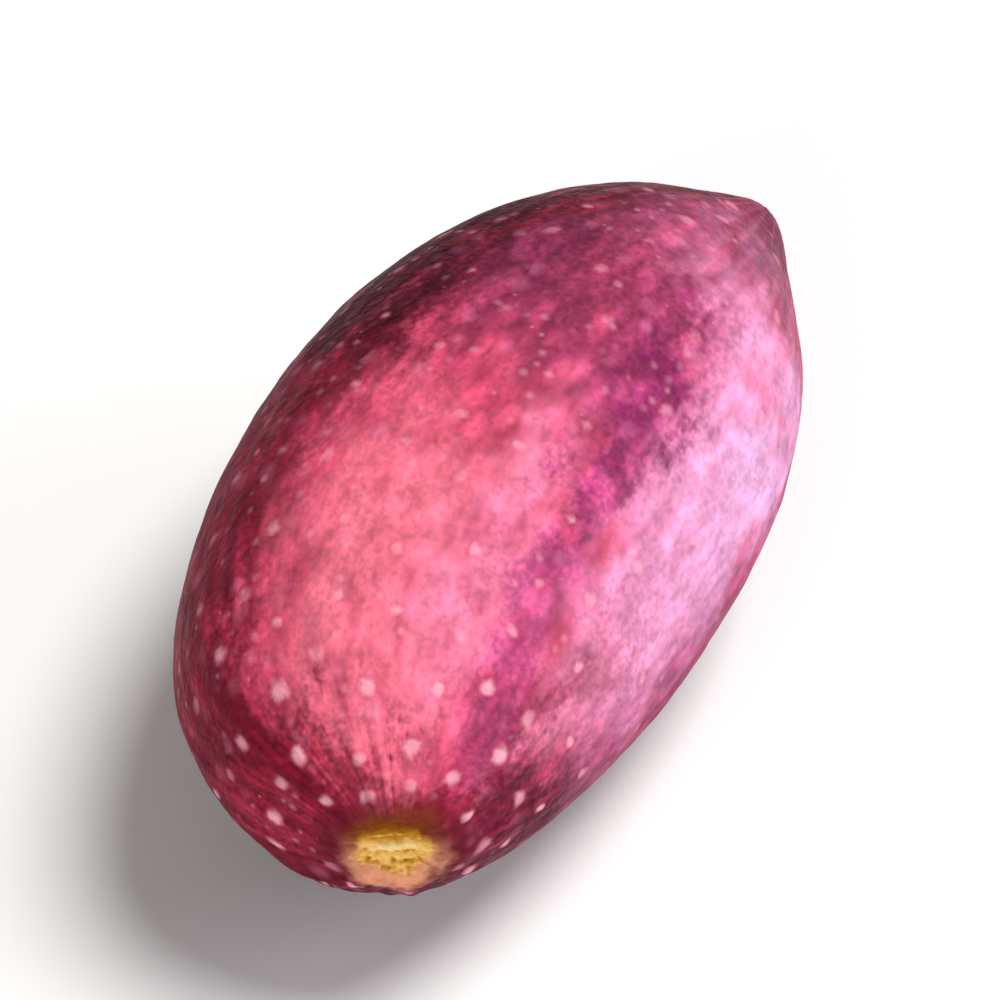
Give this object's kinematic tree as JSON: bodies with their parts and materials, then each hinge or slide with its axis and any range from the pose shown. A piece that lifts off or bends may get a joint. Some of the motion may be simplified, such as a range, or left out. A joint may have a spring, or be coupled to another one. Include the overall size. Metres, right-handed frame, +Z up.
{
  "type": "pistachio in hull",
  "caption": "Ripe pistachio fruit in its soft rose-red hull: an uneven oval with a round stalk scar at one end and a blunt beak at the other, lying on its side.",
  "frame": {"origin": "on the surface the fruit lies on, under the middle of its length and width", "axes": "+X along the fruit from the stalk scar to the beak, +Y towards its rounder side, +Z up from the surface it lies on"},
  "size_m": [0.0276, 0.0152, 0.0147],
  "materials": {
    "ripe_hull": "smooth ripe skin with a soft waxy gloss, coral pink to magenta and plum, with pale speckles and a yellow stalk scar"
  },
  "bodies": {
    "root": {"hull": "ripe_hull"}
  },
  "joints": []
}
